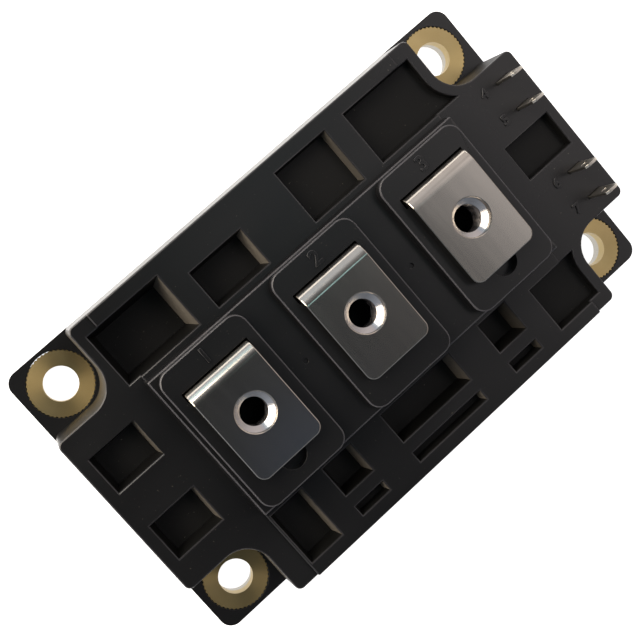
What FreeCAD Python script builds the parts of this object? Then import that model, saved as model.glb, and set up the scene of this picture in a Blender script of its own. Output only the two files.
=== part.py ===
# Half-bridge IGBT power module with three screw terminals and four signal blades.
# Frame: origin under the middle of the base plate, +X towards the signal blades, +Z up.
# Units are millimetres.
import FreeCAD, Part
import math
import os

from FreeCAD import Vector

os.makedirs("parts", exist_ok=True)

# Outline of the module and its mounting holes
MODULE_LENGTH = 108.0
MODULE_WIDTH = 62.0
EAR_TOP = 5.7
EAR_CORNER = 2.5
HOLE_INSET_X = 7.5
HOLE_INSET_Y = 7.0
MOUNT_BORE = 6.5

# Base plate
PLATE_THICKNESS = 3.0
PLATE_BORE = 7.0
RIM_WALL = 1.0
PLATE_GAP = 0.2
PLATE_PROUD = 0.3

# Bushings in the ears
BUSHING_OUTER = 12.4
BUSHING_GAP = 0.05
KNURL_DEPTH = 0.28
KNURL_TEETH = 24

# Case above the ears
END_DECK = 20.0
SIDE_DECK = 21.0
BLOCK_TOP = 25.0
PAD_TOP = 27.5
WALL_DRAFT = 0.035
NOTCH_LENGTH = 14.5
NOTCH_WIDTH = 13.95
NOTCH_ROUND = 5.5
CASE_CORNER = 1.2
BLOCK_MARGIN = 0.85
BLOCK_WIDTH = 30.4
BLOCK_DRAFT = 0.06
CASE_WALL = 2.3
ROOF = 2.0

# Pads that carry the screw terminals
TERMINAL_PITCH = 25.0
PAD_WIDTH = 18.6
PAD_LENGTH = 29.8
PAD_CORNER = 2.6

# Screw terminals: folded strips, 14 wide, over captive nuts
TAB_TOP = 30.0
TAB_WIDTH = 14.0
TAB_LENGTH = 19.8
TAB_CORNER = 1.8
STRIP = 1.5
FOLD_RADIUS = 1.2
TAB_BORE = 7.0
SLOT_GAP = 0.25
LEG_SHOULDER = 12.5
FOOT_WIDTH = 8.0
FOOT_LENGTH = 5.0
FOOT_SHIFT = 8.0
ARM_HEIGHT = 4.0
FOLD_DISH = 5.2
FOLD_DISH_DEPTH = 2.2

# Captive nuts
NUT_FLATS = 10.0
NUT_HEIGHT = 6.0
NUT_BORE = 5.0
NUT_SINK = 7.2
NUT_SINK_DEPTH = 0.65
NUT_GAP = 0.1
SCREW_WELL = 6.8
SCREW_WELL_DEPTH = 5.0
TOWER_WALL = 1.8

# Signal blades
BLADE_WIDTH = 2.8
BLADE_THICKNESS = 0.5
BLADE_TOP = 28.0
BLADE_INSET_X = 5.0
BLADE_INSET_Y = 3.55
BLADE_PITCH = 6.0
BLADE_POINT = 0.6
BLADE_HOLE = 1.2
BLADE_HOLE_DROP = 3.2
BLADE_GAP = 0.1
BLADE_SHOULDER_WIDTH = 4.0
BLADE_SHOULDER_TOP = 18.0
BLADE_SHOULDER_HEIGHT = 3.0
BLADE_END = 8.2

# Relief pockets in the deck: walls, then distances from the block, the sides and the ends
POCKET_WALL = 1.4
POCKET_SLOPE = 0.13
NOTCH_WALL = 2.0
ROW_GAP = 1.3
ROW_MARGIN = 3.4
SHORT_ROW_MARGIN = 6.7
BACK_ROW_GAP = 1.6
BACK_ROW_MARGIN = 7.8
SLOT_WIDTH = 2.1
SLOT_MARGIN = 3.1
CORNER_POCKET_START = 21.7
CORNER_POCKET_END = 37.6
INNER_POCKET_START = 5.5
INNER_POCKET_END = 17.2
BACK_MIDDLE_HALF = 8.3
BACK_SIDE_START = 15.7
BACK_SIDE_END = 22.3
BACK_CORNER_START = 27.3
BACK_CORNER_LEFT_END = 34.5
BACK_CORNER_RIGHT_GAP = 3.3
END_POCKET_LENGTH = 10.0
END_POCKET_MARGIN = 3.0
END_POCKET_INNER = 3.9
END_POCKET_SIDE_MARGIN = 5.45
BLADE_POCKET_GAP = 3.9
BLADE_POCKET_MARGIN = 2.4
DEPTH_DEEP = 9.0
DEPTH_MIDDLE = 5.0
DEPTH_LOW = 3.0
DEPTH_SHALLOW = 2.0

# Ceramic substrates with copper on both faces
SUBSTRATE_GAP = 3.0
SUBSTRATE_CLEARANCE = 1.7
SUBSTRATE_WIDTH = 46.0
PLATE_SOLDER = 0.2
COPPER = 0.3
CERAMIC = 0.6
COPPER_MARGIN = 1.0
TRACK_GAP = 1.5
TRACK_SPLIT_Y = -1.5
EMITTER_FINGER = 4.0
EMITTER_FIELD = 16.0
SIGNAL_STRIP = 1.5
SIGNAL_STRIP_GAP = 1.0
SIGNAL_STRIP_END = -3.5

# Chips and bond wires
CHIP_SOLDER = 0.1
CHIP_THICKNESS = 0.3
IGBT_SIDE = 8.0
DIODE_SIDE = 6.5
CHIP_MARGIN = 1.5
CHIP_GAP = 3.25
CHIP_ROWS = (-6.5, -16.5)
WIRE = 0.4
WIRE_PITCH = 1.2
SIGNAL_WIRE_OFFSET = 2.0
WIRE_RISE = 1.6
JUMPER_RISE = 2.4
WIRE_FOOT = 0.6
WIRE_LEAN = 1.4
WIRE_REACH = 1.0
JUMPER_ROW = -11.5

# Strips from the signal blades to the substrates, and the gel fill
LEAD_WIDTH = 1.2
LEAD_THICKNESS = 0.5
LEAD_HEIGHT = 8.8
LEAD_TURN = 9.7
LEAD_ROW_INNER = 18.0
LEAD_ROW_OUTER = 20.5
LEAD_LANDING_INNER = -13.5
LEAD_LANDING_OUTER = -7.5
GEL_TOP = 7.4

# Heights and places that follow from the sizes above
HALF_LENGTH = MODULE_LENGTH / 2
HALF_WIDTH = MODULE_WIDTH / 2
NECK_HALF = HALF_LENGTH - NOTCH_LENGTH
END_HALF = HALF_WIDTH - NOTCH_WIDTH
BLOCK_HALF = BLOCK_WIDTH / 2
BLOCK_LENGTH = 2 * TERMINAL_PITCH + PAD_WIDTH + 2 * BLOCK_MARGIN
CAVITY_ROOF = END_DECK - ROOF
SUBSTRATE_INNER = SUBSTRATE_GAP / 2
SUBSTRATE_OUTER = NECK_HALF - CASE_WALL - SUBSTRATE_CLEARANCE
SENSE_X = SUBSTRATE_OUTER - COPPER_MARGIN - SIGNAL_STRIP
GATE_X = SENSE_X - SIGNAL_STRIP_GAP - SIGNAL_STRIP
IGBT_X = GATE_X - SIGNAL_STRIP_GAP - CHIP_MARGIN - IGBT_SIDE / 2
DIODE_X = IGBT_X - (IGBT_SIDE + DIODE_SIDE) / 2 - CHIP_GAP
BACK_COPPER_Z = PLATE_THICKNESS + PLATE_SOLDER
CERAMIC_Z = BACK_COPPER_Z + COPPER
TRACK_Z = CERAMIC_Z + CERAMIC
TRACK_TOP = TRACK_Z + COPPER
CHIP_Z = TRACK_TOP + CHIP_SOLDER
CHIP_TOP = CHIP_Z + CHIP_THICKNESS
TAB_UNDER = TAB_TOP - STRIP
NUT_TOP = TAB_UNDER - NUT_GAP
NUT_SEAT = NUT_TOP - NUT_HEIGHT
LEG_OUTER_Y = TAB_LENGTH / 2
LEG_INNER_Y = LEG_OUTER_Y - STRIP
TERMINALS = (-TERMINAL_PITCH, 0.0, TERMINAL_PITCH)
BLADE_X = HALF_LENGTH - BLADE_INSET_X
BLADE_OUTER_Y = END_HALF - BLADE_INSET_Y
BLADE_INNER_Y = BLADE_OUTER_Y - BLADE_PITCH
BLADE_POCKET_HALF = BLADE_INNER_Y - BLADE_POCKET_GAP
BLADES_Y = (BLADE_OUTER_Y, BLADE_INNER_Y, -BLADE_INNER_Y, -BLADE_OUTER_Y)
HOLES = [(sx * (HALF_LENGTH - HOLE_INSET_X), sy * (HALF_WIDTH - HOLE_INSET_Y))
         for sx, sy in ((-1, 1), (1, 1), (1, -1), (-1, -1))]


def polygon_face(points):
    return Part.Face(Part.makePolygon(points + points[:1]))


def rounded_loop(points, radii):
    """Closed wire through points, with an arc of its own radius at each corner."""
    count = len(points)
    starts, middles, ends = [], [], []
    for i, corner in enumerate(points):
        to_last = (points[i - 1] - corner).normalize()
        to_next = (points[(i + 1) % count] - corner).normalize()
        half = to_last.getAngle(to_next) / 2
        reach = radii[i] / math.tan(half)
        inward = (to_last + to_next).normalize()
        centre = corner + inward * (radii[i] / math.sin(half))
        starts.append(corner + to_last * reach)
        middles.append(centre - inward * radii[i])
        ends.append(corner + to_next * reach)
    edges = []
    for i in range(count):
        if radii[i] > 0:
            edges.append(Part.Arc(starts[i], middles[i], ends[i]).toShape())
        following = starts[(i + 1) % count]
        if (following - ends[i]).Length > 1e-6:
            edges.append(Part.LineSegment(ends[i], following).toShape())
    return Part.Wire(edges)


def flat(points, z):
    return [Vector(x, y, z) for x, y in points]


def prism(points, radii, low, high):
    """Upright solid on a rounded outline."""
    face = Part.Face(rounded_loop(flat(points, low), radii))
    return face.extrude(Vector(0, 0, high - low))


def taper(low_points, low, high_points, high):
    """Solid between two outlines of one kind, with flat drafted sides and sharp corners."""
    lower, upper = flat(low_points, low), flat(high_points, high)
    faces = [polygon_face(lower), polygon_face(upper)]
    for i, corner in enumerate(lower):
        faces.append(polygon_face([lower[i - 1], corner, upper[i], upper[i - 1]]))
    shell = Part.makeShell(faces)
    shell.sewShape()
    if shell.Volume < 0:
        shell = Part.makeShell([face.reversed() for face in shell.Faces])
    return Part.Solid(shell)


def rounded_uprights(shape, radius, chosen=lambda edge: True):
    """Rounds the corners that rise from an outline."""
    def upright(edge):
        return abs(edge.Vertexes[0].Z - edge.Vertexes[-1].Z) > 1e-6 and chosen(edge)
    return shape.makeFillet(radius, [edge for edge in shape.Edges if upright(edge)])


def rectangle(x0, x1, y0, y1):
    return [(x0, y0), (x1, y0), (x1, y1), (x0, y1)]


def centred(length, width):
    return rectangle(-length / 2, length / 2, -width / 2, width / 2)


def block(x0, x1, y0, y1, z0, z1):
    return Part.makeBox(x1 - x0, y1 - y0, z1 - z0, Vector(x0, y0, z0))


def cross_outline(end_x, end_y, side_x, side_y):
    """Plan of the case: a long bar crossed by a wide middle, with a notch at each ear."""
    return [(-end_x, -end_y), (-side_x, -end_y), (-side_x, -side_y), (side_x, -side_y),
            (side_x, -end_y), (end_x, -end_y), (end_x, end_y), (side_x, end_y),
            (side_x, side_y), (-side_x, side_y), (-side_x, end_y), (-end_x, end_y)]


def save(node, shape):
    shape.exportStep("parts/" + node + ".step")


def base_plate():
    reach = RIM_WALL + PLATE_GAP
    outline = centred(MODULE_LENGTH - 2 * reach, MODULE_WIDTH - 2 * reach)
    plate = prism(outline, [EAR_CORNER - RIM_WALL] * 4, 0, PLATE_THICKNESS)
    for x, y in HOLES:
        plate = plate.cut(Part.makeCylinder(PLATE_BORE / 2, PLATE_THICKNESS, Vector(x, y, 0)))
    return plate


def bushing(x, y):
    """Turned sleeve with a straight knurl, moulded into an ear of the case."""
    crest = BUSHING_OUTER / 2
    root = crest - KNURL_DEPTH
    loop = []
    for i in range(2 * KNURL_TEETH):
        angle = math.pi * i / KNURL_TEETH
        radius = crest if i % 2 == 0 else root
        loop.append(Vector(x + radius * math.cos(angle), y + radius * math.sin(angle),
                           PLATE_THICKNESS))
    height = EAR_TOP - PLATE_THICKNESS
    sleeve = polygon_face(loop).extrude(Vector(0, 0, height))
    return sleeve.cut(Part.makeCylinder(MOUNT_BORE / 2, height, Vector(x, y, PLATE_THICKNESS)))


def drafted(size, height):
    """Half size at a height above the ears, on a wall that leans in as it rises."""
    return size / 2 - WALL_DRAFT * (height - EAR_TOP)


def cavity(low, high):
    """Space inside the walls of the case, between two heights."""
    wall = CASE_WALL
    plan = cross_outline(drafted(MODULE_LENGTH, END_DECK) - wall, END_HALF - wall,
                         NECK_HALF - wall, drafted(MODULE_WIDTH, END_DECK) - wall)
    return prism(plan, [0, NOTCH_ROUND + wall, 0] * 4, low, high)


def case_body():
    """Outer form of the case, before its cavity, pockets and slots."""
    ears = prism(centred(MODULE_LENGTH, MODULE_WIDTH), [EAR_CORNER] * 4, PLATE_PROUD, EAR_TOP)
    spread = WALL_DRAFT * (END_DECK - EAR_TOP)
    low = cross_outline(HALF_LENGTH, END_HALF + spread, NECK_HALF + spread, HALF_WIDTH)
    high = cross_outline(drafted(MODULE_LENGTH, END_DECK), END_HALF,
                         NECK_HALF, drafted(MODULE_WIDTH, END_DECK))
    body = taper(low, EAR_TOP, high, END_DECK)

    def in_notch(edge):
        middle = edge.CenterOfMass
        return abs(middle.x) < NECK_HALF + spread and abs(middle.y) < END_HALF + spread

    body = rounded_uprights(body, CASE_CORNER, lambda edge: not in_notch(edge))
    body = rounded_uprights(body, NOTCH_ROUND, in_notch)
    middle = taper(centred(BLOCK_LENGTH, MODULE_WIDTH), EAR_TOP,
                   centred(BLOCK_LENGTH, 2 * drafted(MODULE_WIDTH, SIDE_DECK)), SIDE_DECK)
    sunk = END_DECK - ROOF / 2
    rise = BLOCK_DRAFT * (BLOCK_TOP - sunk)
    raised = taper(centred(BLOCK_LENGTH + 2 * rise, BLOCK_WIDTH + 2 * rise), sunk,
                   centred(BLOCK_LENGTH, BLOCK_WIDTH), BLOCK_TOP)
    body = body.fuse([ears, middle, raised])
    for x in TERMINALS:
        outline = rectangle(x - PAD_WIDTH / 2, x + PAD_WIDTH / 2, -PAD_LENGTH / 2, PAD_LENGTH / 2)
        body = body.fuse(prism(outline, [PAD_CORNER] * 4, BLOCK_TOP - ROOF, PAD_TOP))
    return body.removeSplitter()


def pocket_plans():
    """Outline, deck height, depth and side of the notch that each relief pocket follows."""
    beyond = NECK_HALF + NOTCH_WALL
    row = (BLOCK_HALF + ROW_GAP, HALF_WIDTH - ROW_MARGIN)
    short_row = (row[0], HALF_WIDTH - SHORT_ROW_MARGIN)
    back_row = (BACK_ROW_MARGIN - HALF_WIDTH, -BLOCK_HALF - BACK_ROW_GAP)
    slot_low = SLOT_MARGIN - HALF_WIDTH
    plans = [
        (rectangle(-CORNER_POCKET_END, -CORNER_POCKET_START, *row), SIDE_DECK, DEPTH_DEEP, 0),
        (rectangle(-INNER_POCKET_END, -INNER_POCKET_START, *short_row), SIDE_DECK, DEPTH_MIDDLE, 0),
        (rectangle(INNER_POCKET_START, INNER_POCKET_END, *row), SIDE_DECK, DEPTH_LOW, 0),
        (rectangle(CORNER_POCKET_START, beyond, *row), SIDE_DECK, DEPTH_LOW, 1),
        (rectangle(-BACK_CORNER_LEFT_END, -BACK_CORNER_START, slot_low, back_row[1]),
         SIDE_DECK, DEPTH_MIDDLE, 0),
        (rectangle(BACK_CORNER_START, beyond, slot_low, -BLOCK_HALF - BACK_CORNER_RIGHT_GAP),
         SIDE_DECK, DEPTH_LOW, -1),
        (rectangle(HALF_LENGTH - END_POCKET_LENGTH - END_POCKET_MARGIN, HALF_LENGTH - BLADE_POCKET_MARGIN,
                   -BLADE_POCKET_HALF, BLADE_POCKET_HALF), END_DECK, DEPTH_SHALLOW, 0)]
    far = END_POCKET_MARGIN - HALF_LENGTH
    for side in (-1, 1):
        edges = sorted((side * END_POCKET_INNER, side * (END_HALF - END_POCKET_SIDE_MARGIN)))
        outline = rectangle(far, far + END_POCKET_LENGTH, *edges)
        plans.append((outline, END_DECK, DEPTH_MIDDLE, 0))
    columns = ((-BACK_SIDE_END, -BACK_SIDE_START), (-BACK_MIDDLE_HALF, BACK_MIDDLE_HALF),
               (BACK_SIDE_START, BACK_SIDE_END))
    for x0, x1 in columns:
        deep = rectangle(x0, x1, *back_row)
        shallow = rectangle(x0, x1, slot_low, slot_low + SLOT_WIDTH)
        plans += [(deep, SIDE_DECK, DEPTH_MIDDLE, 0), (shallow, SIDE_DECK, DEPTH_LOW, 0)]
    return plans


def grown(points, by):
    """Rectangle outline with each side moved out."""
    (x0, y0), (x1, y1) = points[0], points[2]
    return rectangle(x0 - by, x1 + by, y0 - by, y1 + by)


def notch_wall(side, deck, depth):
    """Space beside a pocket that stays solid round the notch of an ear."""
    x0 = NECK_HALF - NOTCH_WALL
    y0 = END_HALF - NOTCH_WALL
    outline = rectangle(x0, HALF_LENGTH, side * y0, side * HALF_WIDTH)
    return prism(outline, [NOTCH_ROUND + NOTCH_WALL, 0, 0, 0], deck - depth, deck + ROOF)


def pocket(points, deck, depth, notch_side):
    """Space of a pocket, wider at its mouth so that the mould can leave it."""
    space = taper(grown(points, -POCKET_SLOPE * depth), deck - depth,
                  grown(points, POCKET_SLOPE * ROOF), deck + ROOF)
    if notch_side != 0:
        space = space.cut(notch_wall(notch_side, deck, depth))
    return space


def pocket_shell(points, floor):
    """Skin round a pocket, where it hangs into the cavity."""
    return prism(grown(points, POCKET_WALL), [0] * 4, floor - POCKET_WALL, END_DECK)


def hexagon(x, y, flats, low, high):
    radius = flats / math.sqrt(3)
    corners = [Vector(x + radius * math.cos(math.radians(60 * i + 30)),
                      y + radius * math.sin(math.radians(60 * i + 30)), low) for i in range(6)]
    return polygon_face(corners).extrude(Vector(0, 0, high - low))


def case():
    """Moulded case with ears, drafted walls, terminal pads and relief pockets."""
    body = case_body()
    plans = pocket_plans()
    hung = [pocket_shell(points, deck - depth) for points, deck, depth, notch_side in plans]
    for x in TERMINALS:
        tower = SCREW_WELL / 2 + TOWER_WALL
        foot = NUT_SEAT - SCREW_WELL_DEPTH - TOWER_WALL
        hung.append(Part.makeCylinder(tower, END_DECK - foot, Vector(x, 0, foot)))
    body = body.cut(cavity(PLATE_THICKNESS, CAVITY_ROOF).cut(hung))
    rebate = centred(MODULE_LENGTH - 2 * RIM_WALL, MODULE_WIDTH - 2 * RIM_WALL)
    body = body.cut(prism(rebate, [EAR_CORNER - RIM_WALL] * 4, 0, PLATE_THICKNESS))
    cuts = [pocket(*plan) for plan in plans]
    for x, y in HOLES:
        radius = BUSHING_OUTER / 2 + BUSHING_GAP
        cuts.append(Part.makeCylinder(radius, EAR_TOP, Vector(x, y, PLATE_PROUD)))
    for x in TERMINALS:
        cuts.append(hexagon(x, 0, NUT_FLATS + 2 * NUT_GAP, NUT_SEAT, PAD_TOP))
        cuts.append(Part.makeCylinder(SCREW_WELL / 2, SCREW_WELL_DEPTH,
                                      Vector(x, 0, NUT_SEAT - SCREW_WELL_DEPTH)))
        reach = TAB_WIDTH / 2 + SLOT_GAP
        cuts.append(block(x - reach, x + reach, LEG_INNER_Y - SLOT_GAP, LEG_OUTER_Y + SLOT_GAP,
                          LEG_SHOULDER, TAB_TOP))
    for x in (TERMINALS[0], TERMINALS[2]):
        cuts.append(Part.makeCylinder(FOLD_DISH / 2, FOLD_DISH_DEPTH,
                                      Vector(x, -TAB_LENGTH / 2, PAD_TOP - FOLD_DISH_DEPTH)))
    for y in BLADES_Y:
        reach = BLADE_WIDTH / 2 + BLADE_GAP
        half = BLADE_THICKNESS / 2 + BLADE_GAP
        cuts.append(block(BLADE_X - reach, BLADE_X + reach, y - half, y + half,
                          BLADE_SHOULDER_TOP, END_DECK))
    return body.cut(cuts).removeSplitter()


def terminal(x, foot_x):
    """Screw terminal: one strip, folded over its nut, with a narrow foot on the substrate."""
    tab_end = -TAB_LENGTH / 2
    outer = FOLD_RADIUS + STRIP
    low = TRACK_TOP
    side = [Vector(0, tab_end, TAB_UNDER), Vector(0, tab_end, TAB_TOP),
            Vector(0, LEG_OUTER_Y, TAB_TOP), Vector(0, LEG_OUTER_Y, low + STRIP),
            Vector(0, LEG_OUTER_Y + FOOT_LENGTH, low + STRIP), Vector(0, LEG_OUTER_Y + FOOT_LENGTH, low),
            Vector(0, LEG_INNER_Y, low), Vector(0, LEG_INNER_Y, TAB_UNDER)]
    section = Part.Face(rounded_loop(side, [0, 0, outer, FOLD_RADIUS, 0, 0, outer, FOLD_RADIUS]))
    spread = TAB_WIDTH + FOOT_SHIFT + FOOT_WIDTH
    strip = section.extrude(Vector(2 * spread, 0, 0))
    strip.translate(Vector(x - spread, 0, 0))
    half = TAB_WIDTH / 2
    foot0 = foot_x - FOOT_WIDTH / 2
    foot1 = foot_x + FOOT_WIDTH / 2
    arm_low = LEG_SHOULDER - (0 if foot_x == x else ARM_HEIGHT)
    front = [(x - half, TAB_TOP + STRIP), (x - half, LEG_SHOULDER), (foot0, LEG_SHOULDER),
             (foot0, 0), (foot1, 0), (foot1, arm_low), (x + half, arm_low),
             (x + half, TAB_TOP + STRIP)]
    loop = [Vector(px, 0, pz) for px, pz in front]
    depth = TAB_LENGTH + 2 * FOOT_LENGTH + 2 * STRIP
    blank = polygon_face(loop).extrude(Vector(0, depth, 0))
    blank.translate(Vector(0, -depth / 2, 0))
    bar = strip.common(blank)
    plan = prism([(x - half, tab_end), (x + half, tab_end), (x + half, -tab_end + FOOT_LENGTH),
                  (x - half, -tab_end + FOOT_LENGTH)], [TAB_CORNER, TAB_CORNER, 0, 0],
                 TAB_UNDER - STRIP, TAB_TOP + STRIP)
    keep = block(x - spread, x + spread, -depth, depth, 0, TAB_UNDER - STRIP)
    bar = bar.common(plan.fuse(keep))
    bore = Part.makeCylinder(TAB_BORE / 2, 3 * STRIP, Vector(x, 0, TAB_UNDER - STRIP))
    return bar.cut(bore)


def nut(x):
    """Hexagon nut held in the pad, with a wide countersink at its upper face."""
    body = hexagon(x, 0, NUT_FLATS, NUT_SEAT, NUT_TOP)
    body = body.cut(Part.makeCylinder(NUT_BORE / 2, NUT_HEIGHT, Vector(x, 0, NUT_SEAT)))
    sink = Part.makeCone(NUT_BORE / 2, NUT_SINK / 2, NUT_SINK_DEPTH,
                         Vector(x, 0, NUT_TOP - NUT_SINK_DEPTH))
    return body.cut(sink)


def blade(y):
    """Signal blade with a shoulder under the deck and a pierced, pointed end."""
    half = BLADE_WIDTH / 2
    wide = BLADE_SHOULDER_WIDTH / 2
    top = BLADE_TOP
    low = BLADE_SHOULDER_TOP - BLADE_SHOULDER_HEIGHT
    front = [(-half, BLADE_END), (half, BLADE_END), (half, low), (wide, low),
             (wide, BLADE_SHOULDER_TOP), (half, BLADE_SHOULDER_TOP), (half, top - BLADE_POINT),
             (half - BLADE_POINT, top), (BLADE_POINT - half, top), (-half, top - BLADE_POINT),
             (-half, BLADE_SHOULDER_TOP), (-wide, BLADE_SHOULDER_TOP), (-wide, low), (-half, low)]
    loop = [Vector(BLADE_X + px, y - BLADE_THICKNESS / 2, pz) for px, pz in front]
    body = polygon_face(loop).extrude(Vector(0, BLADE_THICKNESS, 0))
    hole = Part.makeCylinder(BLADE_HOLE / 2, BLADE_THICKNESS,
                             Vector(BLADE_X, y - BLADE_THICKNESS / 2, top - BLADE_HOLE_DROP),
                             Vector(0, 1, 0))
    return body.cut(hole)


def strip_plan(points, width):
    """Outline of a flat strip of one width along a plan route with mitred turns."""
    left, right = [], []
    for i, point in enumerate(points):
        before = (point - points[i - 1]).normalize() if i > 0 else None
        after = (points[i + 1] - point).normalize() if i + 1 < len(points) else before
        before = before or after
        across = Vector(-before.y - after.y, before.x + after.x, 0).normalize()
        reach = width / 2 / across.dot(Vector(-after.y, after.x, 0))
        left.append(point + across * reach)
        right.append(point - across * reach)
    return polygon_face(left + right[::-1])


def lead(y, landing, row):
    """Pressed strip from the foot of a blade to its place on a substrate."""
    x, end_y = landing
    start = Vector(BLADE_X - BLADE_WIDTH / 2, y, LEAD_HEIGHT)
    points = [start]
    if row is not None:
        turn = start.x - LEAD_TURN
        points += [Vector(turn, y, LEAD_HEIGHT), Vector(turn - (row - y), row, LEAD_HEIGHT),
                   Vector(x, row, LEAD_HEIGHT)]
    points.append(Vector(x, end_y, LEAD_HEIGHT))
    half = LEAD_WIDTH / 2
    strip = strip_plan(points, LEAD_WIDTH).extrude(Vector(0, 0, LEAD_THICKNESS))
    end = points[-1] - points[-2]
    if abs(end.x) > abs(end.y):
        leg = block(x - LEAD_THICKNESS, x, end_y - half, end_y + half, TRACK_TOP,
                    LEAD_HEIGHT + LEAD_THICKNESS)
    else:
        leg = block(x - half, x + half, end_y - LEAD_THICKNESS, end_y, TRACK_TOP,
                    LEAD_HEIGHT + LEAD_THICKNESS)
    return strip.fuse(leg).removeSplitter()


def layer(span, margin, low, thickness):
    half = SUBSTRATE_WIDTH / 2 - margin
    return block(span[0] + margin, span[1] - margin, -half, half, low, low + thickness)


def tracks(side):
    """Copper circuit of one switch, mirrored for the other."""
    near = SUBSTRATE_INNER + COPPER_MARGIN
    far = SUBSTRATE_OUTER - COPPER_MARGIN
    half = SUBSTRATE_WIDTH / 2 - COPPER_MARGIN
    split = TRACK_SPLIT_Y
    finger = near + EMITTER_FINGER
    field = near + EMITTER_FIELD
    collector = [(finger + TRACK_GAP, GATE_X - SIGNAL_STRIP_GAP, -half, split),
                 (field + TRACK_GAP, far, split, half)]
    emitter = [(near, finger, -half, split + TRACK_GAP), (near, field, split + TRACK_GAP, half)]
    signals = [(x, x + SIGNAL_STRIP, -half, SIGNAL_STRIP_END) for x in (GATE_X, SENSE_X)]
    solids = []
    for group in (collector, emitter):
        first, second = [block(x0, x1, y0, y1, TRACK_Z, TRACK_TOP) for x0, x1, y0, y1 in group]
        solids.append(first.fuse(second).removeSplitter())
    for x0, x1, y0, y1 in signals:
        solids.append(block(x0, x1, y0, y1, TRACK_Z, TRACK_TOP))
    return mirrored(solids, side)


def mirrored(solids, side):
    group = Part.makeCompound(solids)
    if side < 0:
        group = group.mirror(Vector(0, 0, 0), Vector(1, 0, 0))
    return group


def chips(side_length, x, low, thickness):
    """Square chips of one kind, in two rows on each switch."""
    half = side_length / 2
    return Part.makeCompound([block(sign * x - half, sign * x + half, y - half, y + half,
                                    low, low + thickness)
                              for sign in (-1, 1) for y in CHIP_ROWS])


def bond(x0, x1, y, low0, low1, rise):
    """Wire bonded at two flattened feet, arched between them along X."""
    top = max(low0, low1) + rise
    lean = math.copysign(WIRE_LEAN, x1 - x0)
    lower = [(x0, low0), (x0 + lean, top - WIRE), (x1 - lean, top - WIRE), (x1, low1)]
    foot = math.copysign(WIRE_FOOT, x1 - x0)
    upper = [(x1 + foot, low1), (x1 - lean, top), (x0 + lean, top), (x0 - foot, low0)]
    loop = [Vector(px, y - WIRE / 2, pz) for px, pz in lower + upper]
    return polygon_face(loop).extrude(Vector(0, WIRE, 0))


def bond_wires(side):
    """Emitter, gate and sense wires of one switch."""
    near = SUBSTRATE_INNER + COPPER_MARGIN
    wires = []
    for row in CHIP_ROWS:
        for k in (-0.5, 0.5):
            y = row + k * WIRE_PITCH
            wires.append(bond(IGBT_X - WIRE_REACH, DIODE_X + WIRE_REACH, y, CHIP_TOP, CHIP_TOP, WIRE_RISE))
            wires.append(bond(DIODE_X - WIRE_REACH, near + EMITTER_FINGER / 2, y, CHIP_TOP, TRACK_TOP,
                              WIRE_RISE))
        for y, strip in ((row + SIGNAL_WIRE_OFFSET, GATE_X), (row - SIGNAL_WIRE_OFFSET, SENSE_X)):
            wires.append(bond(IGBT_X + WIRE_REACH, strip + SIGNAL_STRIP / 2, y, CHIP_TOP, TRACK_TOP,
                              WIRE_RISE))
    return mirrored(wires, side)


def jumper_wires():
    """Wires that join the emitter of the right switch to the collector of the left one."""
    near = SUBSTRATE_INNER + COPPER_MARGIN
    start = near + EMITTER_FINGER / 2
    end = -(near + EMITTER_FINGER + TRACK_GAP + 2 * WIRE_REACH)
    return Part.makeCompound([bond(start, end, JUMPER_ROW + k * WIRE_PITCH, TRACK_TOP, TRACK_TOP,
                                   JUMPER_RISE) for k in (-1, 0, 1)])


def gel(inner_shapes):
    """Soft fill poured over the substrates and their bond wires."""
    return cavity(PLATE_THICKNESS, GEL_TOP).cut(inner_shapes)


def build():
    """Every piece of the module by its node name."""
    pieces = {"case": case(), "base_plate": base_plate()}
    for number, (x, y) in enumerate(HOLES, 1):
        pieces[f"bushing_{number}"] = bushing(x, y)
    feet = (TERMINALS[0], TERMINALS[1] - FOOT_SHIFT, TERMINALS[2])
    inner = {}
    for number, (x, foot_x) in enumerate(zip(TERMINALS, feet), 1):
        inner[f"screw_terminal_{number}"] = terminal(x, foot_x)
        pieces[f"terminal_nut_{number}"] = nut(x)
    gate = GATE_X + SIGNAL_STRIP / 2
    sense = SENSE_X + SIGNAL_STRIP / 2
    landings = (((-sense, LEAD_LANDING_OUTER), LEAD_ROW_OUTER),
                ((-gate, LEAD_LANDING_INNER), LEAD_ROW_INNER),
                ((sense, -BLADE_INNER_Y), None),
                ((gate, -BLADE_OUTER_Y), None))
    for number, (y, (landing, row)) in enumerate(zip(BLADES_Y, landings), 1):
        inner[f"signal_blade_{number}"] = blade(y)
        inner[f"signal_lead_{number}"] = lead(y, landing, row)
    spans = ((-SUBSTRATE_OUTER, -SUBSTRATE_INNER), (SUBSTRATE_INNER, SUBSTRATE_OUTER))
    for name, span, side in zip(("left", "right"), spans, (-1, 1)):
        inner[f"plate_solder_{name}"] = layer(span, COPPER_MARGIN, PLATE_THICKNESS, PLATE_SOLDER)
        inner[f"back_copper_{name}"] = layer(span, COPPER_MARGIN, BACK_COPPER_Z, COPPER)
        inner[f"ceramic_{name}"] = layer(span, 0, CERAMIC_Z, CERAMIC)
        inner[f"copper_tracks_{name}"] = tracks(side)
        inner[f"bond_wires_{name}"] = bond_wires(side)
    inner["jumper_wires"] = jumper_wires()
    inner["igbt_solder"] = chips(IGBT_SIDE, IGBT_X, TRACK_TOP, CHIP_SOLDER)
    inner["igbt_chips"] = chips(IGBT_SIDE, IGBT_X, CHIP_Z, CHIP_THICKNESS)
    inner["diode_solder"] = chips(DIODE_SIDE, DIODE_X, TRACK_TOP, CHIP_SOLDER)
    inner["diode_chips"] = chips(DIODE_SIDE, DIODE_X, CHIP_Z, CHIP_THICKNESS)
    pieces.update(inner)
    pieces["silicone_gel"] = gel(list(inner.values()))
    return pieces


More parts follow.
